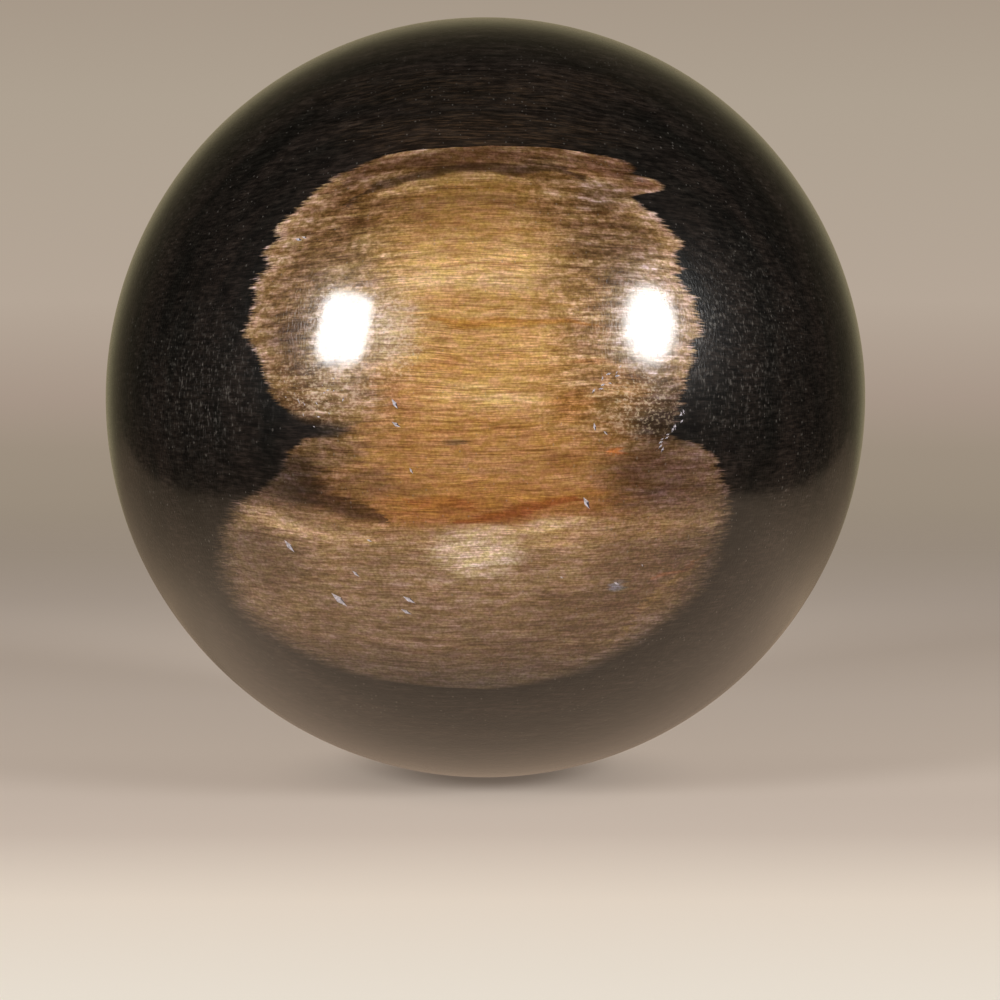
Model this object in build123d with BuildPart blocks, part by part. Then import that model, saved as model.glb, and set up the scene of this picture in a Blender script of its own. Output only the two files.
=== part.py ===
"""Polished ball of petrified wood, in millimetres.

One solid, ground from a single block of silicified wood. Its centre is the origin and +Z is up.
The wood fibres lie along X and the pale heart of the figure faces -Y, the front.
"""
import os
from math import cos, radians, sin

from build123d import *

# Driving dimensions
ball_diameter = 110.0

# The longest natural chip, measured at the polished surface
chip_length = 3.0
chip_width = 1.0
chip_depth = 0.3

# Each chip: bearing in degrees from the front towards +X, elevation in degrees above the equator,
# slant in degrees by which its +X end dips below the fibres
chip_places = [
    (-23.3, -26.4, 47),
    (-30.0, -18.3, 54),
    (14.2, -11.5, 60),
    (-11.8, -26.0, 33),
    (-12.5, -28.0, 30),
    (-12.4, 2.2, 57),
    (-12.2, -0.6, 30),
    (-19.7, -22.1, 45),
]
# Each chip's size against the longest one, in the same order
chip_size_shares = [1.0, 0.75, 0.7, 0.65, 0.55, 0.5, 0.45, 0.45]

# The cutter stands as far proud of the surface as it reaches below it, so its base is twice the chip's outline
cutter_base_share = 2.0

ball_radius = ball_diameter / 2


def chip_cutter(size_share):
    """Upside-down four-sided pyramid, long along X, whose flanks are the cleavage faces of a chip."""
    length = chip_length * size_share
    width = chip_width * size_share
    depth = chip_depth * size_share
    with BuildPart() as pyramid:
        with BuildSketch(Plane.XY.offset(depth)) as base:
            with BuildLine():
                Polyline(
                    (-length / 2 * cutter_base_share, 0),
                    (0, -width / 2 * cutter_base_share),
                    (length / 2 * cutter_base_share, 0),
                    (0, width / 2 * cutter_base_share),
                    close=True,
                )
            make_face()
        loft(sections=[base.face(), Vertex(0, 0, -depth)], ruled=True)
    return pyramid.part


def chip_plane(bearing, elevation, slant):
    """Plane that touches the ball at a chip, with its X along the chip."""
    turn = radians(bearing)
    lift = radians(elevation)
    dip = radians(slant)
    outward = Vector(sin(turn) * cos(lift), -cos(turn) * cos(lift), sin(lift))
    eastward = Vector(cos(turn), sin(turn), 0)
    northward = outward.cross(eastward)
    along = eastward * cos(dip) - northward * sin(dip)
    return Plane(origin=outward * ball_radius, x_dir=along, z_dir=outward)


with BuildPart() as ball:
    # Body: a half disc turned about the vertical axis
    with BuildSketch(Plane.XZ):
        with BuildLine():
            ThreePointArc((0, -ball_radius), (ball_radius, 0), (0, ball_radius))
            Line((0, ball_radius), (0, -ball_radius))
        make_face()
    revolve(axis=Axis.Z)

    # Natural chips: slanted cleavage hollows that the polish left open in the pale heart
    for (bearing, elevation, slant), size_share in zip(chip_places, chip_size_shares):
        cutter = chip_cutter(size_share)
        with Locations(chip_plane(bearing, elevation, slant)):
            add(cutter, mode=Mode.SUBTRACT)

ball.part.label = "petrified_wood_ball"

os.makedirs("parts", exist_ok=True)
export_step(ball.part, "parts/petrified_wood_ball.step")
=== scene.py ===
"""Petrified wood sphere: a polished ball of silicified wood and the studio it is shown in.

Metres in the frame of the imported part: the ball's centre is the origin, +Z is up, the wood fibres lie
along X and the pale heart of the figure faces -Y, the camera's side.
"""
import math
import random

import bpy
from mathutils import Matrix, Quaternion, Vector


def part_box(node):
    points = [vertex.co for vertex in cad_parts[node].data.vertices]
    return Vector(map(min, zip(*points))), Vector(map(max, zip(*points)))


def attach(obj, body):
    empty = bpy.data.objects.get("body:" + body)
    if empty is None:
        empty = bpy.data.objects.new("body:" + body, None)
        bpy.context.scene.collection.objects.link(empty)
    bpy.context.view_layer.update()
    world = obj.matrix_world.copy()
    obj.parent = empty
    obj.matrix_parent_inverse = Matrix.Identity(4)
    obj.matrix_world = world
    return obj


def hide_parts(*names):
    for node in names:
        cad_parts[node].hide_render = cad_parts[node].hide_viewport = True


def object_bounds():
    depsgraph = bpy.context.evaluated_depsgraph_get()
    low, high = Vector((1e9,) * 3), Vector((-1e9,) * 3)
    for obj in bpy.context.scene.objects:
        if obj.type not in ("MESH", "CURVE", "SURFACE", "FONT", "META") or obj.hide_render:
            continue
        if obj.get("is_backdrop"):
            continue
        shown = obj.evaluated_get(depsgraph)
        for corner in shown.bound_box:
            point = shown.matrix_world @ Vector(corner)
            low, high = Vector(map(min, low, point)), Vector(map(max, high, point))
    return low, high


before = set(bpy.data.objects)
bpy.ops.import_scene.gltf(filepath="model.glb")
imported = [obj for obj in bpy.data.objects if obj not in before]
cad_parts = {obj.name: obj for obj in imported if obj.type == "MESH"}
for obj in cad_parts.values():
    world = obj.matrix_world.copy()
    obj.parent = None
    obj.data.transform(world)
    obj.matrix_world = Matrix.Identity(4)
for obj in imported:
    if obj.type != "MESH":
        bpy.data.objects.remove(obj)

bl_info = {
    "name": "Petrified wood sphere",
    "version": (1, 0, 0),
    "blender": (4, 5, 0),
    "location": "View3D > Sidebar > Petrified Wood",
    "description": "Builds a polished petrified wood sphere and its studio",
    "category": "Object",
}

CAD_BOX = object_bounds()
NODE = "petrified_wood_ball"
BALL_RADIUS = max(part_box(NODE)[1])
MM = 0.001
# Settings of a map range with soft ends
SMOOTH = {"interpolation_type": "SMOOTHSTEP"}

# The photograph's frame, and the camera that puts the ball where it stands there
FRAME_PX = 1000
SENSOR_MM = 36.0
CAMERA_LENS_MM = 123.8
CAMERA_AWAY = 0.5
CAMERA_ELEVATION = math.radians(3.0)
CAMERA_AIM = Vector((0.0021, 0.0, -0.0148))


def srgb(code):
    """Linear colour of an sRGB hex value."""
    parts = [int(code[i:i + 2], 16) / 255 for i in (1, 3, 5)]
    return [c / 12.92 if c <= 0.04045 else ((c + 0.055) / 1.055) ** 2.4 for c in parts]


def put(tree, kind, *values, out=None, **settings):
    """Adds a node, a shader node by its short name: values go to its shown inputs in order, settings to
    its properties, or to its inputs where they are capitalised."""
    node = tree.nodes.new(kind if kind.startswith(("Geometry", "Function")) else "ShaderNode" + kind)
    for name, value in settings.items():
        if name[0].islower():
            setattr(node, name, value)
    shown = [s for s in node.inputs if s.enabled]
    pairs = list(zip(shown, values))
    pairs += [(node.inputs[n.replace("_", " ")], v) for n, v in settings.items() if n[0].isupper()]
    for socket, value in pairs:
        if isinstance(value, bpy.types.NodeSocket):
            tree.links.new(value, socket)
        elif value is not None:
            socket.default_value = value
    return node.outputs[out] if out else next((s for s in node.outputs if s.enabled), None)


def camera_axes():
    """Camera's place and its right, up and forward directions."""
    place = Vector((0, -math.cos(CAMERA_ELEVATION), math.sin(CAMERA_ELEVATION))) * CAMERA_AWAY
    forward = (CAMERA_AIM - place).normalized()
    right = forward.cross(Vector((0, 0, 1))).normalized()
    return place, right, right.cross(forward), forward


def on_ball(px, py):
    """Point of the ball seen at a pixel of the photograph, in shares of its radius."""
    place, right, up, forward = camera_axes()
    focal = CAMERA_LENS_MM / SENSOR_MM * FRAME_PX
    ray = (right * (px - FRAME_PX / 2) + up * (FRAME_PX / 2 - py) + forward * focal).normalized()
    near = -place.dot(ray)
    reach = near - math.sqrt(near * near - place.length_squared + BALL_RADIUS ** 2)
    return (place + ray * reach) / BALL_RADIUS


# Outline of the pale heart, from its top to its bottom, in the photograph's pixels
HEART_LEFT = [
    (480, 146), (424, 149), (388, 154), (364, 164), (334, 179), (316, 192), (283, 222), (276, 231),
    (281, 238), (263, 252), (270, 265), (254, 285), (256, 300), (243, 335), (254, 347), (263, 366),
    (267, 380), (272, 396), (288, 410), (316, 422), (346, 429), (344, 433), (308, 438), (290, 450),
    (285, 470), (264, 489), (240, 503), (230, 530), (231, 575), (242, 605), (264, 626), (300, 650),
    (345, 670), (395, 682), (440, 687), (480, 689),
]
HEART_RIGHT = [
    (485, 145), (540, 146), (591, 153), (620, 160), (634, 166), (636, 170), (629, 174), (640, 176),
    (652, 179), (660, 183), (663, 187), (661, 191), (652, 193), (637, 194), (629, 196), (637, 202),
    (656, 217), (684, 244), (673, 258), (684, 269), (675, 277), (694, 300), (701, 332), (692, 343),
    (694, 358), (685, 381), (681, 401), (671, 428), (670, 437), (696, 443), (714, 456), (721, 472),
    (725, 494), (725, 512), (717, 532), (707, 560), (690, 593), (661, 620), (634, 639), (600, 660),
    (565, 675), (530, 684), (485, 689),
]

# Natural chips, as in the part: bearing from the front towards +X, elevation, slant, size against the longest
CHIPS = [
    (-23.3, -26.4, 47, 1.0), (-30.0, -18.3, 54, 0.75), (14.2, -11.5, 60, 0.7), (-11.8, -26.0, 33, 0.65),
    (-12.5, -28.0, 30, 0.55), (-12.4, 2.2, 57, 0.5), (-12.2, -0.6, 30, 0.45), (-19.7, -22.1, 45, 0.45),
]
# Fine marks too small for the part: pixel of the photograph, slant, size against the longest chip
MARKS = [
    (411, 471, 60, 0.3), (369, 541, 20, 0.3), (595, 427, 80, 0.35), (606, 433, 40, 0.25),
    (617, 584, 20, 0.4), (298, 239, 10, 0.4), (304, 237, 15, 0.3), (562, 578, 30, 0.25),
    (643, 566, 50, 0.25),
]
# Healed cracks, each a chain of tiny chips through pixels of the photograph, their size and scatter in pixels
CRACKS = [
    ([(687, 410), (682, 418), (675, 428), (668, 434), (660, 449)], 0.24, 3),
    ([(677, 160), (680, 172), (687, 181)], 0.13, 2),
    ([(643, 203), (656, 199), (672, 195), (680, 195)], 0.13, 2),
    ([(622, 366), (616, 371), (595, 390)], 0.15, 4),
    ([(262, 372), (282, 388), (302, 404), (322, 420)], 0.16, 10),
    ([(300, 384), (322, 396), (346, 388)], 0.14, 12),
    ([(635, 608), (627, 622), (617, 640)], 0.13, 3),
]
CRACK_STEP_PX = 3.5
CRACK_SEED = 7
# How far a crack's chips turn from its run, in degrees, and how their sizes differ
CRACK_TURN = 60
CRACK_SIZES = (0.4, 1.4)

# Rows between which the heart lies, and the column on which heights are read
HEART_ROWS = (140, 700)
HEART_MIDDLE_PX = 485
# The ball's radius in the photograph, and its lobes there: middle, half width and half height in pixels
BALL_PX = 381
UPPER_LOBE = (470, 345, 225, 200)
HONEY_CORE = (470, 335, 80, 178)
HONEY_FOOT = (480, 474, 128, 66)
# Colours of the honey core by row, from the top
CORE_BY_ROW = [
    (147, "#583b26"), (158, "#62442d"), (168, "#5c432b"), (183, "#94703f"), (205, "#87623a"),
    (232, "#a67d4a"), (262, "#cfa76e"), (285, "#cba675"), (303, "#b98e59"), (330, "#ba9059"),
    (362, "#c4975d"), (400, "#c2955d"), (430, "#ac7d49"), (470, "#a87b4b"), (500, "#a8763f"),
    (517, "#a06b3c"), (535, "#a37d56"), (560, "#9a7d61"), (590, "#ab8c6d"), (620, "#967556"),
    (650, "#785b42"), (688, "#544539"),
]
# Colours of the mantle round it by row
MANTLE_BY_ROW = [
    (380, "#8d7258"), (410, "#7a5d45"), (440, "#5a4633"), (480, "#553f2d"), (505, "#5a4030"),
    (525, "#93734f"), (545, "#927352"), (580, "#8b6e50"), (620, "#82674c"), (650, "#6b543f"),
    (690, "#4e4237"),
]
# Colours of the upper lobe from its middle to its rim, by distance from its middle
MANTLE_BY_RING = [
    (0.3, "#a8835a"), (0.5, "#977348"), (0.62, "#86673f"), (0.7, "#765635"), (0.78, "#80603d"),
    (0.84, "#795a3a"), (0.88, "#7b5c3f"), (0.92, "#997754"), (0.97, "#b18d6d"), (1.04, "#b08c72"),
]
# Distance from the lobe's middle at which its colours end
RING_LIMIT = 1.1
# Patches of colour, among them painted haze round the lamps' reflections, a painted glint and a painted
# reflection: middle, half width and half height in pixels of the photograph, colour, strength
PATCHES = [
    (606, 245, 50, 42, "#634a35", 0.4), (604, 196, 26, 14, "#86705f", 0.5),
    (332, 452, 34, 14, "#785d42", 0.75), (294, 476, 34, 20, "#2a1e16", 0.8),
    (655, 472, 60, 30, "#533a2b", 0.75), (664, 424, 34, 19, "#2c211a", 0.85),
    (666, 394, 20, 15, "#4d3e37", 0.65), (395, 392, 32, 22, "#b07d4e", 0.6),
    (573, 405, 24, 13, "#ad7030", 0.4), (438, 363, 28, 5, "#a8713c", 0.6),
    (590, 364, 24, 4, "#96602c", 0.6), (490, 396, 50, 13, "#d2ae78", 0.5),
    (400, 491, 34, 10, "#7d5a38", 0.5), (364, 484, 32, 16, "#6d5038", 0.65),
    (617, 448, 8, 4, "#c4692a", 0.5), (454, 443, 12, 4, "#54422c", 0.7), (328, 429, 34, 7, "#2f2926", 0.7),
    # Below the left lamp's reflection the pale patch at (346, 404) is pale stone with painted haze; the pale
    # patch at (477, 551) is a painted reflection in the polish
    (346, 404, 36, 22, "#bd9e7e", 0.65), (477, 551, 42, 22, "#d1b898", 0.8),
    (272, 566, 40, 30, "#5a4533", 0.65), (254, 540, 24, 14, "#5d4636", 0.7),
    (708, 482, 28, 34, "#62472f", 0.5), (656, 572, 64, 46, "#593e2c", 0.72),
    (698, 552, 34, 28, "#4c3626", 0.7), (600, 528, 40, 11, "#ab8763", 0.6),
    (410, 640, 80, 14, "#8c7055", 0.5), (585, 612, 60, 26, "#5e452f", 0.7),
    # The bluish grey patch at (617, 583) is a painted glint in a small chip
    (668, 602, 28, 12, "#735731", 0.6), (617, 583, 10, 5, "#74767a", 0.7),
    (640, 527, 50, 12, "#8a6848", 0.6), (560, 488, 30, 10, "#b3845a", 0.7),
    (400, 413, 30, 8, "#8f6034", 0.6), (572, 290, 36, 36, "#8a663b", 0.35),
    # Painted haze round the lamps' reflections: the pale patches at (651, 322), (350, 330) and (398, 328)
    (564, 538, 40, 10, "#b8936b", 0.75), (651, 322, 40, 50, "#cfb79f", 0.5),
    (350, 330, 44, 50, "#b89f84", 0.35), (398, 328, 22, 28, "#cbb49a", 0.4),
    (612, 167, 46, 13, "#6b482f", 0.75), (642, 185, 26, 8, "#7a553a", 0.8),
    # The pale patch at (664, 276) is the heart's rim with the right lamp's haze painted into it
    (664, 276, 26, 22, "#c9a98d", 0.5), (692, 440, 18, 10, "#37291f", 0.7),
    (636, 200, 26, 11, "#553f2c", 0.6), (634, 172, 20, 9, "#3f2c1e", 0.6),
    (566, 462, 22, 14, "#7f5429", 0.6), (280, 345, 18, 16, "#644a37", 0.7),
    (660, 222, 16, 14, "#5c4535", 0.5), (590, 336, 18, 24, "#bb966e", 0.5),
    (422, 582, 36, 14, "#a7896c", 0.5), (616, 386, 30, 18, "#ba8e5e", 0.6),
]
# Bands of colour: points with half thickness, all in pixels of the photograph, colour, strength
BANDS = [
    ([(340, 182, 6), (370, 168, 8), (410, 159, 9), (480, 154, 9), (550, 157, 9),
      (600, 166, 8), (630, 178, 4)], "#5a3f29", 0.7),
    ([(345, 205, 2), (372, 186, 6), (405, 178, 5), (440, 170, 5), (480, 167, 5),
      (530, 168, 5), (560, 172, 3), (590, 182, 2)], "#332317", 0.75),
    ([(380, 196, 2), (410, 186, 4), (450, 178, 4), (500, 176, 3), (530, 178, 2)], "#b48f62", 0.5),
    ([(438, 264, 1), (480, 262, 2), (522, 263, 1)], "#9a5f33", 0.5),
    ([(500, 305, 2), (540, 306, 5), (575, 308, 2)], "#9a7038", 0.5),
    ([(425, 321, 1), (450, 323, 3), (500, 324, 3), (560, 325, 3), (600, 326, 1)], "#ad7632", 0.7),
    ([(256, 490, 4), (285, 493, 10), (310, 498, 11), (335, 502, 11), (360, 511, 8),
      (386, 519, 2)], "#2b1e15", 0.7),
    ([(403, 500, 2), (430, 502, 5), (450, 505, 5), (472, 509, 2)], "#96592a", 0.6),
    ([(450, 523, 2), (475, 521, 5), (500, 518, 6), (530, 511, 6), (560, 505, 4),
      (582, 501, 2)], "#86431b", 0.66),
    ([(243, 507, 2), (256, 512, 4), (270, 518, 8), (288, 526, 9), (310, 532, 8),
      (340, 536, 5), (372, 538, 2)], "#be9c77", 0.85),
    ([(480, 532, 3), (520, 531, 5), (560, 527, 6), (585, 522, 4), (600, 519, 1)], "#cdab85", 0.65),
    ([(610, 501, 2), (662, 493, 3), (712, 486, 1)], "#2f1f18", 0.35),
    ([(612, 646, 1), (626, 626, 3), (640, 608, 4), (662, 590, 4), (700, 566, 2)], "#8a6c40", 0.55),
    ([(652, 580, 1), (680, 573, 3), (712, 552, 2)], "#7d4a28", 0.5),
]
# Crushed stone, drawn pale as painted glints beside the lamps' reflections: middle, half width and half
# height in pixels of the photograph
CRUMB_GLINT_SPOTS = [(322, 390, 48, 30), (640, 404, 40, 30), (397, 334, 26, 46)]
# The same of the tongue at the heart's upper right, the notch at its left, the brown above it and the painted
# glints of upright scratches beside the lamps' reflections
TONGUE = (650, 184, 30, 16)
NOTCH = (330, 420, 50, 24)
CROWN = (480, 134, 140, 24)
BROW = (480, 92, 170, 22)
SCRATCH_GLINT_SPOTS = [(728, 345, 66, 90), (205, 385, 60, 70)]
# Where a patch begins and where it is full, and the same of softer ones, 1 being its half width
PATCH_EDGE = (1.3, 0.4)
HAZE_EDGE = (1.3, 0.3)
# Grain: its size along the fibres, into the log and up, in millimetres, and its detail
GRAINS = [
    ("cloud", (12, 12, 6), 1.0), ("streak", (6.5, 4.5, 1.0), 3.0), ("tooth", (6, 3, 0.9), 2.0),
    ("grain", (6, 2.2, 0.42), 3.0), ("hair", (3, 1, 0.16), 2.0), ("line", (14, 4, 0.3), 1.0),
    ("mottle", (1.3, 1.2, 0.7), 2.0), ("weave", (0.4, 0.45, 0.35), 1.0),
]
# Sizes of the black stone's layers, of the silica specks and of the fine scratches, in the same order
LAYER_MM = (25, 3, 14)
SPECK_MM = (0.55, 0.55, 0.85)
CRAZE_MM = (0.24, 0.24, 0.9)
# Slow drift of the fibres: its width and its height
DRIFT_MM = (16, 1.6)
# Nearer the viewer than this share of the radius lies the front, with the heart
FRONT_DEPTH = -0.3
# Thickest half of a band, as a share of the radius
BAND_LIMIT = 0.05
# Polished silica: refractive index of quartz, roughness under the polish, depth of the fine scratches
QUARTZ_IOR = 1.54
STONE_ROUGHNESS = 0.3
SCRATCH_DEPTH_MM = 0.035
GRINDING_SEED = 4.0

FLOOR_RADIUS = 3.0
FLOOR_SIDES = 96
# Softboxes, brightest in the middle, with rounded corners and soft edges: direction from the ball, width and
# height, corner power (2 is an ellipse), end of the bright core, roll in degrees, power against the setting
SOFTBOXES = [
    ("left softbox", (-0.645, -0.678, 0.353), (0.272, 0.335), 4.0, 0.25, 0, 1.4),
    ("right softbox", (0.725, -0.589, 0.357), (0.30, 0.40), 2.2, 0.0, -25, 2.4),
]


class BallSettings(bpy.types.PropertyGroup):
    radius: bpy.props.FloatProperty(
        name="Radius", description="Radius of the ball", default=BALL_RADIUS, unit="LENGTH")
    divisions: bpy.props.IntProperty(
        name="Divisions", description="Mesh cells along a quarter turn", default=64, min=8)
    waviness_depth: bpy.props.FloatProperty(
        name="Waviness depth", description="How far hand grinding left the ball from round",
        default=0.3 * MM, unit="LENGTH")
    waviness_width: bpy.props.FloatProperty(
        name="Waviness width", description="Width of the flats that hand grinding left",
        default=40 * MM, unit="LENGTH")
    chip_length: bpy.props.FloatProperty(
        name="Chip length", description="Length of the longest natural chip", default=3.0 * MM, unit="LENGTH")
    chip_width: bpy.props.FloatProperty(
        name="Chip width", description="Width of the longest natural chip", default=1.0 * MM, unit="LENGTH")
    chip_depth: bpy.props.FloatProperty(
        name="Chip depth", description="Depth of the longest natural chip", default=0.3 * MM, unit="LENGTH")


class StoneColours(bpy.types.PropertyGroup):
    black: bpy.props.FloatVectorProperty(
        name="Black stone", description="Darkest colour of the stone", subtype="COLOR",
        default=srgb("#14120f"))
    brown_black: bpy.props.FloatVectorProperty(
        name="Brown-black stone", description="Browner layers of the black stone", subtype="COLOR",
        default=srgb("#211b17"))
    crown: bpy.props.FloatVectorProperty(
        name="Brown above the heart", description="Brown fibres above the heart", subtype="COLOR",
        default=srgb("#4c3a2a"))
    rim: bpy.props.FloatVectorProperty(
        name="Heart's rim", description="Pale rim of the heart", subtype="COLOR", default=srgb("#b89880"))
    band: bpy.props.FloatVectorProperty(
        name="Heart's outer band", description="Tan band inside the heart's rim", subtype="COLOR",
        default=srgb("#b49068"))
    margin: bpy.props.FloatVectorProperty(
        name="Heart's lower margin", description="Taupe margin of the heart's lower lobe", subtype="COLOR",
        default=srgb("#6c5847"))
    # Partly painted glints: pale silica at the healed cracks, drawn where the lamps' glints fall
    crumb_and_glint: bpy.props.FloatVectorProperty(
        name="Crumbs", description="Crushed silica at the healed cracks", subtype="COLOR",
        default=srgb("#dcc6a4"))
    # Partly painted glints: pale silica in the pores, which also stands for glints off the pits
    speck_and_glint: bpy.props.FloatVectorProperty(
        name="Specks", description="Silica in the open pores", subtype="COLOR", default=srgb("#8a847c"))
    chip: bpy.props.FloatVectorProperty(
        name="Chips", description="Frosted silica in the chips", subtype="COLOR", default=srgb("#d9d0d6"))
    # Painted shade: the colour of each chip's shaded flank
    chip_painted_shade: bpy.props.FloatVectorProperty(
        name="Chips' shade", description="Dark flank of the chips", subtype="COLOR", default=srgb("#4d4450"))


class StageSettings(bpy.types.PropertyGroup):
    lamp_power: bpy.props.FloatProperty(
        name="Lamp power", description="Power of each softbox", default=4.8, unit="POWER")
    lamp_away: bpy.props.FloatProperty(
        name="Lamp distance", description="Distance of each softbox from the ball", default=0.9,
        unit="LENGTH")
    floor_colour: bpy.props.FloatVectorProperty(
        name="Floor", description="Colour of the paper floor", subtype="COLOR", default=srgb("#fbefe2"))


def ball_tree():
    """Geometry tree of the ball: a cube blown up to a sphere, ground a little wavy, with chips cut out."""
    tree = bpy.data.node_groups.new("ground ball with chips", "GeometryNodeTree")
    for name, kind in (
        ("Chip Places", "NodeSocketGeometry"), ("Radius", "NodeSocketFloat"), ("Divisions", "NodeSocketInt"),
        ("Waviness Depth", "NodeSocketFloat"), ("Waviness Width", "NodeSocketFloat"),
        ("Stone", "NodeSocketMaterial"), ("Seed", "NodeSocketFloat"),
    ):
        tree.interface.new_socket(name, in_out="INPUT", socket_type=kind)
    tree.interface.new_socket("Ball", in_out="OUTPUT", socket_type="NodeSocketGeometry")
    given = tree.nodes.new("NodeGroupInput").outputs

    verts = put(tree, "FunctionNodeIntegerMath", given["Divisions"], 1, operation="ADD")
    cube = put(tree, "GeometryNodeMeshCube", (2, 2, 2), verts, verts, verts)
    place = put(tree, "GeometryNodeInputPosition")
    angle = put(tree, "VectorMath", place, Scale=math.pi / 4, operation="SCALE")
    even = put(tree, "VectorMath", angle, operation="TANGENT")
    outward = put(tree, "VectorMath", even, operation="NORMALIZE")
    times = put(tree, "Math", given["Radius"], given["Waviness Width"], operation="DIVIDE")
    spread = put(tree, "VectorMath", outward, Scale=times, operation="SCALE")
    wave = put(tree, "TexNoise", spread, given["Seed"], noise_dimensions="4D", Scale=1.0, Detail=1.0)
    sunk = put(tree, "Math", wave, given["Waviness Depth"], operation="MULTIPLY")
    reach = put(tree, "Math", given["Radius"], sunk, operation="SUBTRACT")
    spot = put(tree, "VectorMath", outward, Scale=reach, operation="SCALE")
    ball = put(tree, "GeometryNodeSetPosition", cube, True, spot)

    # Chips: an upside-down pyramid of unit size below the surface, which stands as far above it
    pyramid = put(tree, "GeometryNodeMeshCone", Vertices=4, Radius_Top=2.0, Radius_Bottom=0.0, Depth=2.0)
    pyramid = put(tree, "GeometryNodeTransform", pyramid, Translation=(0, 0, -1))
    # One of each chip's four flanks is marked for painted shade, the others for the pale frosted silica
    facing = put(tree, "GeometryNodeInputNormal")
    facing = put(tree, "VectorMath", facing, (0.7, 0.7, 0.0), out="Value", operation="DOT_PRODUCT")
    lit = put(tree, "MapRange", facing, 0.3, 0.4, 1.0, 0.5)
    pyramid = put(tree, "GeometryNodeStoreNamedAttribute", pyramid, True, "chip", lit, data_type="FLOAT",
                  domain="FACE")
    turn = put(tree, "GeometryNodeInputNamedAttribute", "chip_turn", data_type="FLOAT_VECTOR")
    size = put(tree, "GeometryNodeInputNamedAttribute", "chip_size", data_type="FLOAT_VECTOR")
    points = put(tree, "GeometryNodeMeshToPoints", given["Chip Places"])
    cutters = put(tree, "GeometryNodeInstanceOnPoints", points, Instance=pyramid, Rotation=turn, Scale=size)
    cutters = put(tree, "GeometryNodeRealizeInstances", cutters)
    cut = put(tree, "GeometryNodeMeshBoolean", ball, cutters, operation="DIFFERENCE", solver="EXACT",
              Self_Intersection=True)
    rims = cut.node.outputs["Intersecting Edges"]
    whole = put(tree, "GeometryNodeSetShadeSmooth", cut, True, True, domain="FACE")
    whole = put(tree, "GeometryNodeSetShadeSmooth", whole, rims, False, domain="EDGE")
    whole = put(tree, "GeometryNodeRealizeInstances", whole)
    whole = put(tree, "GeometryNodeSetMaterial", whole, True, given["Stone"])
    tree.links.new(whole, tree.nodes.new("NodeGroupOutput").inputs["Ball"])
    return tree


def chip_list():
    """Every chip's outward direction, slant in degrees and size: the part's, the marks and the cracks."""
    chips = []
    for bearing, elevation, slant, share in CHIPS:
        b, e = math.radians(bearing), math.radians(elevation)
        outward = Vector((math.sin(b) * math.cos(e), -math.cos(b) * math.cos(e), math.sin(e)))
        chips.append((outward, slant, share))
    for px, py, slant, share in MARKS:
        chips.append((on_ball(px, py), slant, share))
    dice = random.Random(CRACK_SEED)
    for points, size, scatter in CRACKS:
        for (x0, y0), (x1, y1) in zip(points, points[1:]):
            steps = max(1, round(math.hypot(x1 - x0, y1 - y0) / CRACK_STEP_PX))
            slant = math.degrees(math.atan2(y1 - y0, x1 - x0))
            for i in range(steps):
                t = (i + dice.random()) / steps
                aside, down = dice.uniform(-scatter, scatter), dice.uniform(-scatter, scatter)
                at = on_ball(x0 + (x1 - x0) * t + aside, y0 + (y1 - y0) * t + down)
                turn = dice.uniform(-CRACK_TURN, CRACK_TURN)
                chips.append((at, slant + turn, size * dice.uniform(*CRACK_SIZES)))
    return chips


def chip_places(settings):
    """Points on the ball where chips are cut, each with its turn and half sizes."""
    mesh = bpy.data.meshes.new("chip places")
    spots, turns, sizes = [], [], []
    for outward, slant, share in chip_list():
        east = Vector((0, 0, 1)).cross(outward).normalized()
        dip = math.radians(slant)
        along = east * math.cos(dip) - outward.cross(east) * math.sin(dip)
        frame_at = Matrix((along, outward.cross(along), outward)).transposed()
        spots.append(outward * (settings.radius - settings.waviness_depth / 2))
        turns.extend(frame_at.to_euler())
        sizes.extend((settings.chip_length * share / 2, settings.chip_width * share / 2,
                      settings.chip_depth * share))
    mesh.from_pydata(spots, [], [])
    mesh.attributes.new("chip_turn", "FLOAT_VECTOR", "POINT").data.foreach_set("vector", turns)
    mesh.attributes.new("chip_size", "FLOAT_VECTOR", "POINT").data.foreach_set("vector", sizes)
    return mesh


def height_at(py):
    """Height of a pixel row on the ball's middle, as a share of the radius."""
    return on_ball(HEART_MIDDLE_PX, py).z


def heart_heights():
    """Heights of the heart's bottom and top, as shares of the radius."""
    return height_at(HEART_ROWS[1]), height_at(HEART_ROWS[0])


def row_share(py):
    """Place of a pixel row between the heart's bottom and its top."""
    low, high = heart_heights()
    return (height_at(py) - low) / (high - low)


def away_from(tree, where, px, py, half_x, half_z):
    """Distance from a patch's middle, which is 1 at its rim."""
    at = on_ball(px, py)
    wide, tall = BALL_PX / half_x, BALL_PX / half_z
    off = put(tree, "VectorMath", where, [wide, 0, tall], [-at.x * wide, 0, -at.z * tall],
              operation="MULTIPLY_ADD")
    return put(tree, "VectorMath", off, out="Value", operation="LENGTH")


def traced(tree, place, points, low, high):
    """Curve of straight pieces through points, whose values run from low to high."""
    curve = put(tree, "FloatCurve", 1.0, place)
    line = curve.node.mapping.curves[0]
    points = sorted((a, (b - low) / (high - low)) for a, b in points)
    while len(line.points) < len(points):
        line.points.new(0.5, 0.5)
    for point, spot in zip(line.points, points):
        point.location = spot
        point.handle_type = "VECTOR"
    curve.node.mapping.update()
    return put(tree, "Math", curve, high - low, low, operation="MULTIPLY_ADD")


def colour_band(tree, place, stops):
    """Colour ramp through hex values at places from 0 to 1."""
    band = put(tree, "ValToRGB", place)
    elements = band.node.color_ramp.elements
    stops = sorted(stops)
    while len(elements) < len(stops):
        elements.new(0.5)
    for element, (at, code) in zip(elements, stops):
        element.position = at
        element.color = (*srgb(code), 1)
    return band


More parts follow.
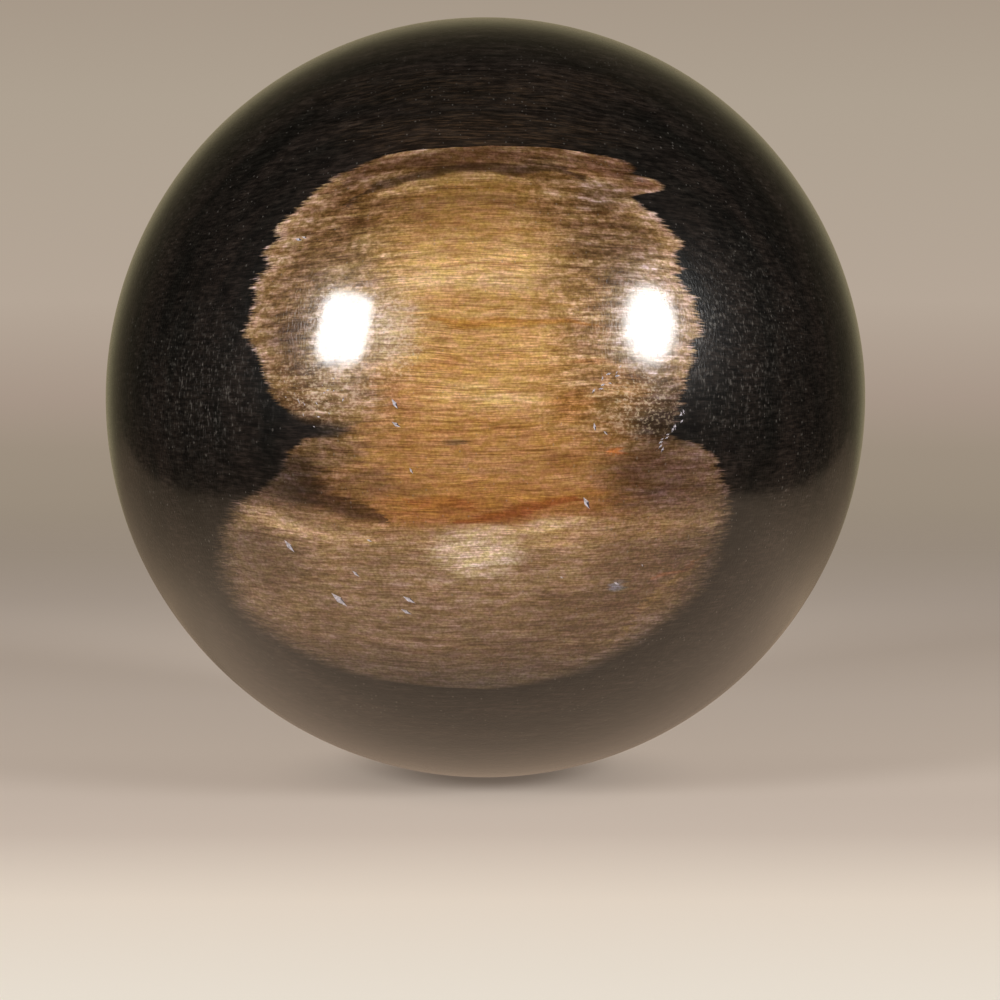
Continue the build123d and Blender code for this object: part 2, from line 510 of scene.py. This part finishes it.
def fibre_noise(tree, mm, x, z):
    """Noise of every grain along the fibres, which lie along X and bow down above the middle of the log."""
    x_mm, y_mm, z_mm = put(tree, "SeparateXYZ", mm).node.outputs
    across = put(tree, "Math", x, x, operation="MULTIPLY")
    bend = put(tree, "MapRange", z, -0.2, 0.2, 0.05, 0.36)
    bow = put(tree, "Math", across, bend, 1.0, operation="MULTIPLY_ADD")
    bowed = put(tree, "Math", z_mm, bow, operation="MULTIPLY")
    drift = put(tree, "TexNoise", mm, Scale=1 / DRIFT_MM[0], Detail=1.0)
    bowed = put(tree, "Math", drift, DRIFT_MM[1], bowed, operation="MULTIPLY_ADD")
    fibre = put(tree, "CombineXYZ", x_mm, y_mm, bowed)
    noise = {}
    for name, size, detail in GRAINS:
        stretched = put(tree, "VectorMath", fibre, [1 / s for s in size], operation="MULTIPLY")
        noise[name] = put(tree, "TexNoise", stretched, Scale=1.0, Detail=detail, Roughness=0.6)
    return noise


def heart_outline(tree, share, x, y, z, noise):
    """How far inside the heart a place is, the lower lobe's share, the front and the heart's share."""
    # Two edges by height, broken into teeth along the fibres, which are finer on the tongue
    low, high = heart_heights()
    level = put(tree, "MapRange", z, low, high, 0.0, 1.0)
    edges = []
    for points in (HEART_LEFT, HEART_RIGHT):
        spots = [on_ball(*p) for p in points]
        edges.append(traced(tree, level, [((s.z - low) / (high - low), s.x) for s in spots], -1, 1))
    from_left = put(tree, "Math", x, edges[0], operation="SUBTRACT")
    from_right = put(tree, "Math", edges[1], x, operation="SUBTRACT")
    inside = put(tree, "Math", from_left, from_right, operation="MINIMUM")
    tongue = put(tree, "MapRange", away_from(tree, share, *TONGUE), 1.5, 0.9, 1.0, 0.25)
    for name, depth in (("tooth", 0.03), ("grain", 0.035), ("hair", 0.045)):
        jag = put(tree, "MapRange", noise[name], 0.0, 1.0, -depth / 2, depth / 2)
        inside = put(tree, "Math", jag, tongue, inside, operation="MULTIPLY_ADD")
    lower = put(tree, "MapRange", z, height_at(400), height_at(520), 0.0, 1.0)
    # Round the lower lobe and in the notch the edge is soft
    blur = put(tree, "MapRange", z, height_at(470), height_at(570), 0.01, 0.055)
    hazy = put(tree, "MapRange", away_from(tree, share, *NOTCH), 1.0, 0.3, 0.0, 0.1)
    blur = put(tree, "Math", blur, hazy, operation="MAXIMUM")
    sharp = put(tree, "Math", inside, blur, operation="DIVIDE")
    heart = put(tree, "MapRange", sharp, -1.0, 1.0, 0.0, 1.0, **SMOOTH)
    front = put(tree, "Math", y, FRONT_DEPTH, operation="LESS_THAN")
    heart = put(tree, "Math", heart, front, operation="MULTIPLY")
    return inside, lower, front, heart


def ragged_places(tree, x, z, noise):
    """Places pushed about along the fibres, so that every patch ends in streaks."""
    ragged_x = put(tree, "Math", noise["grain"], 0.1, x, operation="MULTIPLY_ADD")
    ragged_x = put(tree, "Math", ragged_x, 0.05, operation="SUBTRACT")
    ragged_z = put(tree, "Math", noise["cloud"], 0.06, z, operation="MULTIPLY_ADD")
    ragged_z = put(tree, "Math", noise["streak"], 0.03, ragged_z, operation="MULTIPLY_ADD")
    ragged_z = put(tree, "Math", ragged_z, 0.045, operation="SUBTRACT")
    ragged = put(tree, "CombineXYZ", ragged_x, 0.0, ragged_z)
    return ragged_x, ragged_z, ragged


def heart_figure(tree, ragged_x, ragged_z, ragged, lower, noise):
    """Colours of the heart, the honey core's share and the distance from the upper lobe's middle."""
    # Colours by height and by distance from the lobe's middle, for the honey core and the mantle round it
    low, high = heart_heights()
    row = put(tree, "MapRange", ragged_z, low, high, 0.0, 1.0)
    core_colour = colour_band(tree, row, [(row_share(py), code) for py, code in CORE_BY_ROW])
    mantle_colour = colour_band(tree, row, [(row_share(py), code) for py, code in MANTLE_BY_ROW])
    ring = away_from(tree, ragged, *UPPER_LOBE)
    ring_place = put(tree, "MapRange", ring, 0.0, RING_LIMIT, 0.0, 1.0)
    ring_colour = colour_band(tree, ring_place, [(at / RING_LIMIT, code) for at, code in MANTLE_BY_RING])
    mantle = put(tree, "Mix", lower, ring_colour, mantle_colour, data_type="RGBA")
    off = away_from(tree, ragged, *HONEY_CORE)
    off = put(tree, "Math", noise["streak"], 0.5, off, operation="MULTIPLY_ADD")
    foot = away_from(tree, ragged, *HONEY_FOOT)
    foot = put(tree, "Math", noise["streak"], 0.5, foot, operation="MULTIPLY_ADD")
    off = put(tree, "Math", off, foot, operation="MINIMUM")
    core = put(tree, "MapRange", off, 1.65, 0.85, 0.0, 1.0, **SMOOTH)
    figure = put(tree, "Mix", core, mantle, core_colour, data_type="RGBA")
    for *at, code, strength in PATCHES:
        near = away_from(tree, ragged, *at)
        near = put(tree, "MapRange", near, *PATCH_EDGE, 0.0, strength, **SMOOTH)
        figure = put(tree, "Mix", near, figure, (*srgb(code), 1), data_type="RGBA")
    column = put(tree, "MapRange", ragged_x, -1.0, 1.0, 0.0, 1.0)
    for points, code, strength in BANDS:
        spots = [(on_ball(px, py), half / BALL_PX) for px, py, half in points]
        middle = traced(tree, column, [((s.x + 1) / 2, s.z) for s, half in spots], -1, 1)
        thick = traced(tree, column, [((s.x + 1) / 2, half) for s, half in spots], 0, BAND_LIMIT)
        off = put(tree, "Math", ragged_z, middle, operation="SUBTRACT")
        off = put(tree, "Math", off, operation="ABSOLUTE")
        off = put(tree, "Math", off, thick, operation="DIVIDE")
        near = put(tree, "MapRange", off, 1.4, 0.4, 0.0, strength, **SMOOTH)
        ends = put(tree, "Math", ragged_x, spots[0][0].x, operation="GREATER_THAN")
        near = put(tree, "Math", near, ends, operation="MULTIPLY")
        ends = put(tree, "Math", ragged_x, spots[-1][0].x, operation="LESS_THAN")
        near = put(tree, "Math", near, ends, operation="MULTIPLY")
        figure = put(tree, "Mix", near, figure, (*srgb(code), 1), data_type="RGBA")
    return figure, core, ring


def heart_rim(tree, figure, z, inside, lower, colours):
    """Figure with the heart's outer bands."""
    # Outer band of the upper lobe's flanks: tan, with a paler rim
    flank = put(tree, "MapRange", z, height_at(400), height_at(370), 0.0, 1.0)
    crest = put(tree, "MapRange", z, height_at(218), height_at(188), 1.0, 0.0)
    flank = put(tree, "Math", flank, crest, operation="MULTIPLY")
    for start, end, strength, code in ((0.03, 0.09, 0.6, colours.band), (0.0, 0.025, 0.6, colours.rim)):
        edge = put(tree, "MapRange", inside, start, end, strength, 0.0)
        edge = put(tree, "Math", edge, flank, operation="MULTIPLY")
        figure = put(tree, "Mix", edge, figure, (*code, 1), data_type="RGBA")
    # Margin of the lower lobe: taupe
    margin = put(tree, "MapRange", inside, 0.0, 0.1, 0.4, 0.0)
    margin = put(tree, "Math", margin, lower, operation="MULTIPLY")
    figure = put(tree, "Mix", margin, figure, (*colours.margin, 1), data_type="RGBA")
    return figure


def fibre_lines(tree, figure, core, ring, lower, noise):
    """Figure with its fibres: strong dashes in the upper lobe's mantle, finer lines in the core and below."""
    calm = put(tree, "MapRange", lower, 0.0, 1.0, 1.0, 0.7)
    wild = put(tree, "MapRange", core, 0.0, 1.0, 1.0, 0.15)
    wild = put(tree, "Math", wild, calm, operation="MULTIPLY")
    shy = put(tree, "MapRange", ring, 0.86, 0.97, 1.0, 0.5)
    wild = put(tree, "Math", wild, shy, operation="MULTIPLY")
    soft = put(tree, "MapRange", core, 0.0, 1.0, 1.0, 0.55)
    soft = put(tree, "Math", soft, calm, operation="MULTIPLY")
    rough = put(tree, "MapRange", core, 0.0, 1.0, 1.3, 0.75)
    # Each: noise, where its lines start and end, how dark and how pale they are, what holds them back
    shade = None
    for name, start, end, first, last, held in (
        ("streak", 0.41, 0.6, 0.62, 1.42, wild), ("mottle", 0.4, 0.62, 0.66, 1.46, wild),
        ("grain", 0.38, 0.62, 0.74, 1.34, soft), ("hair", 0.36, 0.64, 0.72, 1.36, None),
        ("line", 0.6, 0.7, 1.0, 0.68, None), ("weave", 0.36, 0.64, 0.78, 1.26, rough),
    ):
        line = put(tree, "MapRange", noise[name], start, end, first, last)
        if held:
            line = put(tree, "Mix", held, 1.0, line, data_type="FLOAT")
        shade = put(tree, "Math", shade, line, operation="MULTIPLY") if shade else line
    # Dark fibres hold more pigment, so they are browner as well, and pale ones greyer
    pigment = [put(tree, "Math", shade, power, operation="POWER") for power in (0.85, 1.05, 1.35)]
    pigment = put(tree, "CombineXYZ", *pigment)
    figure = put(tree, "VectorMath", figure, pigment, operation="MULTIPLY")
    # Some fibres are more golden, some more rosy
    warm = put(tree, "MapRange", noise["mottle"], 0.38, 0.62, 0.0, 1.0)
    tint = put(tree, "Mix", warm, (1.02, 1.05, 0.84, 1), (1.03, 0.94, 1.06, 1), data_type="RGBA")
    figure = put(tree, "VectorMath", figure, tint, operation="MULTIPLY")
    warm = put(tree, "MapRange", noise["tooth"], 0.36, 0.64, 0.0, 1.0)
    tint = put(tree, "Mix", warm, (1.03, 0.99, 0.91, 1), (0.98, 0.99, 1.05, 1), data_type="RGBA")
    figure = put(tree, "VectorMath", figure, tint, operation="MULTIPLY")
    return figure


def crumbs_and_glints(tree, figure, ragged, noise, colours):
    """Figure with pale silica at the healed cracks, its grains drawn as painted glints beside the lamps'
    reflections.
    """
    crumb_glints = put(tree, "Math", noise["mottle"], 0.5, noise["weave"], operation="MULTIPLY_ADD")
    crumb_glints = put(tree, "MapRange", crumb_glints, 0.78, 0.94, 0.0, 0.5)
    crumb_glint_near = None
    for spot in CRUMB_GLINT_SPOTS:
        near = put(tree, "MapRange", away_from(tree, ragged, *spot), *PATCH_EDGE, 0.0, 1.0)
        crumb_glint_near = put(tree, "Math", crumb_glint_near, near, operation="MAXIMUM") if crumb_glint_near else near
    crumb_glints = put(tree, "Math", crumb_glints, crumb_glint_near, operation="MULTIPLY")
    figure = put(tree, "Mix", crumb_glints, figure, (*colours.crumb_and_glint, 1), data_type="RGBA")
    return figure


def black_stone(tree, mm, share, ragged, front, noise, colours):
    """Black stone's colour, the painted glints of its scratches beside the lamps' reflections and its fine
    upright scratches.
    """
    # Layers a shade apart, and faint fibres
    layers = put(tree, "VectorMath", mm, [1 / s for s in LAYER_MM], operation="MULTIPLY")
    layers = put(tree, "TexNoise", layers, Scale=1.0, Detail=2.0)
    layers = put(tree, "MapRange", layers, 0.35, 0.65, 0.0, 1.0)
    black = put(tree, "Mix", layers, (*colours.black, 1), (*colours.brown_black, 1), data_type="RGBA")
    for name, first, last in (("hair", 0.5, 1.6), ("grain", 0.6, 1.5), ("mottle", 0.7, 1.4)):
        faint = put(tree, "MapRange", noise[name], 0.36, 0.64, first, last)
        black = put(tree, "VectorMath", black, Scale=faint, operation="SCALE")
    # Above the heart the black is browner, with pale fibres
    crown = away_from(tree, ragged, *CROWN)
    crown = put(tree, "MapRange", crown, *HAZE_EDGE, 0.0, 1.0, **SMOOTH)
    brow = away_from(tree, ragged, *BROW)
    brow = put(tree, "MapRange", brow, *HAZE_EDGE, 0.0, 0.55, **SMOOTH)
    crown = put(tree, "Math", crown, brow, operation="MAXIMUM")
    threads = put(tree, "MapRange", noise["hair"], 0.5, 0.7, 0.1, 1.0)
    crown = put(tree, "Math", crown, threads, operation="MULTIPLY")
    black = put(tree, "Mix", crown, black, (*colours.crown, 1), data_type="RGBA")
    # Beside the heart's flanks, next to the lamps' reflections, the black gets short upright scratches drawn
    # pale as painted glints of the lamps
    craze = put(tree, "VectorMath", mm, [1 / s for s in CRAZE_MM], operation="MULTIPLY")
    craze = put(tree, "TexNoise", craze, Scale=1.0, Detail=1.0)
    scratch = put(tree, "MapRange", craze, 0.53, 0.68, 0.02, 0.42)
    gather = put(tree, "MapRange", noise["mottle"], 0.45, 0.62, 0.1, 1.0)
    scratch = put(tree, "Math", scratch, gather, operation="MULTIPLY")
    sides = [put(tree, "MapRange", away_from(tree, share, *at), *HAZE_EDGE, 0.0, 1.0) for at in SCRATCH_GLINT_SPOTS]
    scratch_glints = put(tree, "Math", *sides, operation="MAXIMUM")
    scratch_glints = put(tree, "Math", scratch_glints, front, operation="MULTIPLY")
    scratch_glints = put(tree, "Math", scratch_glints, scratch, operation="MULTIPLY")
    black = put(tree, "Mix", scratch_glints, black, (*colours.speck_and_glint, 1), data_type="RGBA")
    return black, scratch_glints, craze


def specks_and_chips(tree, colour, mm, scratch_glints, noise, colours):
    """Colour with silica specks in open pores, partly painted glints, and frosted silica in the chips with
    painted shade on one flank of each.
    """
    # Pale specks are silica grains in open pores and painted glints off the pits; the grains are drawn about
    # twice as coarse as they are, so that they show
    grains = put(tree, "VectorMath", mm, [1 / s for s in SPECK_MM], operation="MULTIPLY")
    pores = put(tree, "TexVoronoi", grains, Scale=1.0).node.outputs
    lucky = put(tree, "SeparateColor", pores["Color"])
    reach = put(tree, "Math", noise["cloud"], 0.5, lucky, operation="MULTIPLY_ADD")
    # Beside the lamps' reflections more specks are drawn, as painted glints
    reach = put(tree, "Math", scratch_glints, 2.0, reach, operation="MULTIPLY_ADD")
    reach = put(tree, "MapRange", reach, 0.75, 1.3, 0.0, 0.24)
    speck_and_glint = put(tree, "Math", pores["Distance"], reach, operation="LESS_THAN")
    speck_and_glint = put(tree, "Math", speck_and_glint, 0.3, operation="MULTIPLY")
    colour = put(tree, "Mix", speck_and_glint, colour, (*colours.speck_and_glint, 1), data_type="RGBA")
    # Chips are open above 0.25; above 0.75 their flank is the pale one, and below it the flank in painted
    # shade
    chip = put(tree, "Attribute", out="Fac", attribute_name="chip")
    hollow = put(tree, "Math", chip, 0.25, operation="GREATER_THAN")
    pale = put(tree, "Math", chip, 0.75, operation="GREATER_THAN")
    inner = put(tree, "Mix", pale, (*colours.chip_painted_shade, 1), (*colours.chip, 1), data_type="RGBA")
    frost = put(tree, "MapRange", noise["weave"], 0.35, 0.65, 0.6, 1.15)
    inner = put(tree, "VectorMath", inner, Scale=frost, operation="SCALE")
    colour = put(tree, "Mix", hollow, colour, inner, data_type="RGBA")
    return colour


def stone_material(colours):
    """Silicified wood, ground and polished: a glassy gloss over fine fibres, black round a pale heart."""
    mat = bpy.data.materials.new("petrified wood, ground and polished")
    mat.use_nodes = True
    tree = mat.node_tree
    tree.nodes.clear()

    # Places in millimetres for grain, and in shares of the radius for the figure
    place = put(tree, "TexCoord", out="Object")
    mm = put(tree, "VectorMath", place, Scale=1 / MM, operation="SCALE")
    share = put(tree, "VectorMath", place, Scale=1 / BALL_RADIUS, operation="SCALE")
    x, y, z = put(tree, "SeparateXYZ", share).node.outputs

    noise = fibre_noise(tree, mm, x, z)
    inside, lower, front, heart = heart_outline(tree, share, x, y, z, noise)
    ragged_x, ragged_z, ragged = ragged_places(tree, x, z, noise)
    figure, core, ring = heart_figure(tree, ragged_x, ragged_z, ragged, lower, noise)
    figure = heart_rim(tree, figure, z, inside, lower, colours)
    figure = fibre_lines(tree, figure, core, ring, lower, noise)
    figure = crumbs_and_glints(tree, figure, ragged, noise, colours)
    black, scratch_glints, craze = black_stone(tree, mm, share, ragged, front, noise, colours)
    colour = put(tree, "Mix", heart, black, figure, data_type="RGBA")
    colour = specks_and_chips(tree, colour, mm, scratch_glints, noise, colours)

    # The same scratches spread each lamp's reflection into a streaky haze and fray its edge
    scratched = put(tree, "Bump", 1.0, SCRATCH_DEPTH_MM * MM, Height=craze)
    fray = put(tree, "Math", noise["mottle"], craze, operation="MULTIPLY")
    fray = put(tree, "MapRange", fray, 0.18, 0.36, 0.04, 0.18)
    shader = put(tree, "BsdfPrincipled", Base_Color=colour, Roughness=STONE_ROUGHNESS,
                 IOR=QUARTZ_IOR, Normal=scratched, Specular_IOR_Level=0.2, Coat_Weight=0.9,
                 Coat_Roughness=fray, Coat_IOR=QUARTZ_IOR)
    put(tree, "OutputMaterial", shader)
    return mat


class OBJECT_OT_petrified_wood_ball(bpy.types.Operator):
    """Make the polished ball with its natural chips"""
    bl_idname = "object.petrified_wood_ball"
    bl_label = "Petrified Wood Ball"

    def execute(self, context):
        settings = context.scene.petrified_wood_ball
        piece = bpy.data.objects.new("petrified_wood_ball_polished", chip_places(settings))
        context.collection.objects.link(piece)
        tree = ball_tree()
        modifier = piece.modifiers.new("ball", "NODES")
        modifier.node_group = tree
        given = {
            "Radius": settings.radius, "Divisions": settings.divisions,
            "Waviness Depth": settings.waviness_depth, "Waviness Width": settings.waviness_width,
            "Stone": stone_material(context.scene.petrified_wood_colours), "Seed": GRINDING_SEED,
        }
        for item in tree.interface.items_tree:
            if item.in_out == "INPUT" and item.name in given:
                modifier[item.identifier] = given[item.name]
        shaped = piece.evaluated_get(context.evaluated_depsgraph_get())
        mesh = bpy.data.meshes.new_from_object(shaped)
        piece.modifiers.remove(modifier)
        piece.data = mesh
        mesh.name = piece.name
        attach(piece, "root")
        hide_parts(NODE)
        return {"FINISHED"}


def paper_material(settings):
    """Matte paper: pale and even, it fades out sideways and far behind the ball."""
    paper = bpy.data.materials.new("matte paper")
    paper.use_nodes = True
    tree = paper.node_tree
    tree.nodes.clear()
    place = put(tree, "TexCoord", out="Object")
    parts = put(tree, "SeparateXYZ", place).node.outputs
    sideways = put(tree, "Math", parts["X"], operation="ABSOLUTE")
    spread = put(tree, "Math", parts["Y"], -0.5, sideways, operation="MULTIPLY_ADD")
    edge = put(tree, "MapRange", spread, 0.16, 0.19, 0.0, 1.0, **SMOOTH)
    path = put(tree, "LightPath").node.outputs
    edge = put(tree, "Math", edge, path["Is Camera Ray"], operation="SUBTRACT", use_clamp=True)
    ahead = put(tree, "MapRange", parts["Y"], -0.065, -0.115, 0.0, 1.0, **SMOOTH)
    ahead = put(tree, "Math", ahead, path["Is Glossy Ray"], operation="MULTIPLY")
    behind = put(tree, "MapRange", parts["Y"], 0.15, 0.5, 0.0, 1.0, **SMOOTH)
    away = put(tree, "VectorMath", place, (1, 1, 0), (0, -0.05, 0), operation="MULTIPLY_ADD")
    away = put(tree, "VectorMath", away, out="Value", operation="LENGTH")
    far = put(tree, "MapRange", away, 0.35, 0.9, 0.0, 1.0, **SMOOTH)
    fade = put(tree, "Math", edge, ahead, operation="MAXIMUM")
    fade = put(tree, "Math", fade, behind, operation="MAXIMUM")
    fade = put(tree, "Math", fade, far, operation="MAXIMUM")
    matte = put(tree, "BsdfPrincipled", Base_Color=(*settings.floor_colour, 1), Roughness=0.9,
                Specular_IOR_Level=0.1)
    # Seen directly or in the polish, the paper is paler in front and under the softboxes
    depth = put(tree, "MapRange", parts["Y"], -0.15, 0.35, 0.0, 1.0)
    look = colour_band(tree, depth, [
        (0.0, "#fff6e6"), (0.11, "#f8e7d3"), (0.2, "#cbb6a5"), (0.25, "#c6b1a0"), (0.34, "#d0bcaa"),
        (0.45, "#cbb8a7"), (0.59, "#bdaa99"), (0.76, "#aa998a"), (1.0, "#9b8d7e")])
    under = put(tree, "Math", parts["Y"], -0.145, sideways, operation="MULTIPLY_ADD")
    under = put(tree, "MapRange", under, 0.09, 0.15, 0.0, 1.0, **SMOOTH)
    look = put(tree, "Mix", under, look, (*srgb("#fff2e2"), 1), data_type="RGBA")
    # The ball shades the paper that it rests on
    apart = put(tree, "VectorMath", place, (1, 1, 0), operation="MULTIPLY")
    apart = put(tree, "VectorMath", apart, out="Value", operation="LENGTH")
    contact = put(tree, "MapRange", apart, 0.0, 0.035, 0.4, 1.0, **SMOOTH)
    look = put(tree, "VectorMath", look, Scale=contact, operation="SCALE")
    # In the polish it is palest beside the ball and falls off sideways and behind
    reach = put(tree, "Math", parts["Y"], 0.9, sideways, operation="MULTIPLY_ADD")
    reach = put(tree, "Math", parts["X"], -0.2, reach, operation="MULTIPLY_ADD")
    reach = put(tree, "MapRange", reach, 0.0, 0.4, 0.0, 1.0)
    mirrored = colour_band(tree, reach, [
        (0.1, "#d1b69d"), (0.21, "#cbb197"), (0.25, "#bca48b"), (0.37, "#a08b74"), (0.5, "#897763"),
        (0.75, "#7c6c59"), (1.0, "#736351")])
    shadow = put(tree, "MapRange", away, 0.052, 0.082, 0.5, 1.0)
    mirrored = put(tree, "VectorMath", mirrored, Scale=shadow, operation="SCALE")
    look = put(tree, "Mix", path["Is Glossy Ray"], look, mirrored, data_type="RGBA")
    # The camera sees half of that look and half of the lit paper with the shadow, the polish only the look
    seen = put(tree, "Math", path["Is Camera Ray"], 0.5, path["Is Glossy Ray"], operation="MULTIPLY_ADD")
    shown = put(tree, "MixShader", seen, matte, put(tree, "Emission", look, 1.0))
    clear = put(tree, "BsdfTransparent")
    put(tree, "OutputMaterial", put(tree, "MixShader", fade, shown, clear))
    return paper


def softbox(settings, name, toward, size, corner, core, roll, strength):
    """Softbox that faces the ball."""
    light = bpy.data.lights.new(name, "AREA")
    light.energy = settings.lamp_power * strength
    light.shape = "RECTANGLE"
    light.size, light.size_y = size
    light.use_nodes = True
    tree = light.node_tree
    tree.nodes.clear()
    cloth = put(tree, "NewGeometry", out="Parametric")
    cloth = put(tree, "VectorMath", cloth, (2, 2, 0), (-1, -1, 0), operation="MULTIPLY_ADD")
    cloth = put(tree, "VectorMath", cloth, operation="ABSOLUTE")
    cloth = put(tree, "SeparateXYZ", cloth).node.outputs
    wide = put(tree, "Math", cloth["X"], corner, operation="POWER")
    tall = put(tree, "Math", cloth["Y"], corner, operation="POWER")
    rim = put(tree, "Math", wide, tall, operation="ADD")
    glow = put(tree, "MapRange", rim, 1.0, core, 0.0, 1.0, **SMOOTH)
    put(tree, "OutputLight", put(tree, "Emission", (1, 1, 1, 1), glow))
    lamp = bpy.data.objects.new(name, light)
    lamp.location = Vector(toward).normalized() * settings.lamp_away
    aim = Vector(toward).to_track_quat("Z", "Y") @ Quaternion((0, 0, 1), math.radians(roll))
    lamp.rotation_euler = aim.to_euler()
    lamp.visible_camera = False
    return lamp


def studio_surroundings():
    """World of the studio: a pale wall behind, dim elsewhere."""
    world = bpy.data.worlds.new("studio surroundings")
    world.use_nodes = True
    tree = world.node_tree
    tree.nodes.clear()
    way = put(tree, "TexCoord", out="Generated")
    parts = put(tree, "SeparateXYZ", way).node.outputs
    path = put(tree, "LightPath").node.outputs
    pale = put(tree, "MapRange", parts["Y"], 0.8, 0.97, 0.0, 1.0, **SMOOTH)
    pale = put(tree, "Math", pale, path["Is Camera Ray"], operation="MAXIMUM")
    rise = put(tree, "MapRange", parts["Z"], -0.23, 0.09, 0.0, 1.0)
    wall = colour_band(tree, rise, [
        (0.04, "#e7daca"), (0.106, "#dbcebe"), (0.194, "#bbaa9c"), (0.283, "#a9998a"), (0.375, "#9f8f80"),
        (0.45, "#998c7c"), (0.51, "#9d8f7f"), (0.556, "#a79688"), (0.644, "#b5a697"), (0.825, "#aea191"),
        (1.0, "#a09182")])
    room = put(tree, "Mix", pale, (*srgb("#22201e"), 1), wall, data_type="RGBA")
    # In the polish the wall fades upwards and to the sides
    turn = put(tree, "MapRange", parts["Y"], 0.5, 1.0, 0.0, 1.0)
    mirrored = colour_band(tree, turn, [
        (0.0, "#1c1815"), (0.2, "#29231b"), (0.44, "#393328"), (0.62, "#4b4435"), (0.74, "#655d48"),
        (0.84, "#857d61"), (0.9, "#91866a"), (1.0, "#988d70")])
    room = put(tree, "Mix", path["Is Glossy Ray"], room, mirrored, data_type="RGBA")
    glow = put(tree, "Background", room, 1.0)
    put(tree, "OutputWorld", glow)
    return world


def studio_camera():
    """Camera that puts the ball where it stands in the photograph."""
    camera = bpy.data.cameras.new("camera")
    camera.lens = CAMERA_LENS_MM
    camera.sensor_width = SENSOR_MM
    place, right, up, forward = camera_axes()
    eye = bpy.data.objects.new("camera", camera)
    eye.matrix_world = Matrix.Translation(place) @ Matrix((right, up, -forward)).transposed().to_4x4()
    return eye


class OBJECT_OT_petrified_wood_stage(bpy.types.Operator):
    """Make the floor, the softboxes, the surroundings and the camera"""
    bl_idname = "object.petrified_wood_stage"
    bl_label = "Studio"

    def execute(self, context):
        settings = context.scene.petrified_wood_stage
        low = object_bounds()[0].z
        floor_mesh = bpy.data.meshes.new("paper floor")
        turns = [math.tau * i / FLOOR_SIDES for i in range(FLOOR_SIDES)]
        ring = [(FLOOR_RADIUS * math.cos(a), FLOOR_RADIUS * math.sin(a), low) for a in turns]
        floor_mesh.from_pydata(ring, [], [list(range(FLOOR_SIDES))])
        floor = bpy.data.objects.new("paper_floor", floor_mesh)
        context.collection.objects.link(floor)
        floor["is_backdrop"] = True
        floor_mesh.materials.append(paper_material(settings))
        for box in SOFTBOXES:
            context.collection.objects.link(softbox(settings, *box))
        context.scene.world = studio_surroundings()
        eye = studio_camera()
        context.collection.objects.link(eye)
        context.scene.camera = eye
        context.scene.view_settings.view_transform = "Standard"
        return {"FINISHED"}


class VIEW3D_PT_petrified_wood(bpy.types.Panel):
    """Sidebar panel of the ball and its studio"""
    bl_label = "Petrified Wood Sphere"
    bl_idname = "VIEW3D_PT_petrified_wood"
    bl_space_type = "VIEW_3D"
    bl_region_type = "UI"
    bl_category = "Petrified Wood"

    def draw(self, context):
        for settings, operator in (
            (context.scene.petrified_wood_ball, None),
            (context.scene.petrified_wood_colours, OBJECT_OT_petrified_wood_ball),
            (context.scene.petrified_wood_stage, OBJECT_OT_petrified_wood_stage),
        ):
            for name in settings.__annotations__:
                self.layout.prop(settings, name)
            if operator:
                self.layout.operator(operator.bl_idname)


CLASSES = (
    BallSettings, StoneColours, StageSettings, OBJECT_OT_petrified_wood_ball, OBJECT_OT_petrified_wood_stage,
    VIEW3D_PT_petrified_wood,
)


def register():
    for cls in CLASSES:
        bpy.utils.register_class(cls)
    bpy.types.Scene.petrified_wood_ball = bpy.props.PointerProperty(type=BallSettings)
    bpy.types.Scene.petrified_wood_colours = bpy.props.PointerProperty(type=StoneColours)
    bpy.types.Scene.petrified_wood_stage = bpy.props.PointerProperty(type=StageSettings)


def unregister():
    del bpy.types.Scene.petrified_wood_stage
    del bpy.types.Scene.petrified_wood_colours
    del bpy.types.Scene.petrified_wood_ball
    for cls in reversed(CLASSES):
        bpy.utils.unregister_class(cls)


def main():
    register()
    bpy.ops.object.petrified_wood_ball()
    bpy.ops.object.petrified_wood_stage()
    boxes = {"cad": CAD_BOX, "visual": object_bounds()}
    {name: [list(corner) for corner in box] for name, box in boxes.items()}


if __name__ == "__main__":
    main()
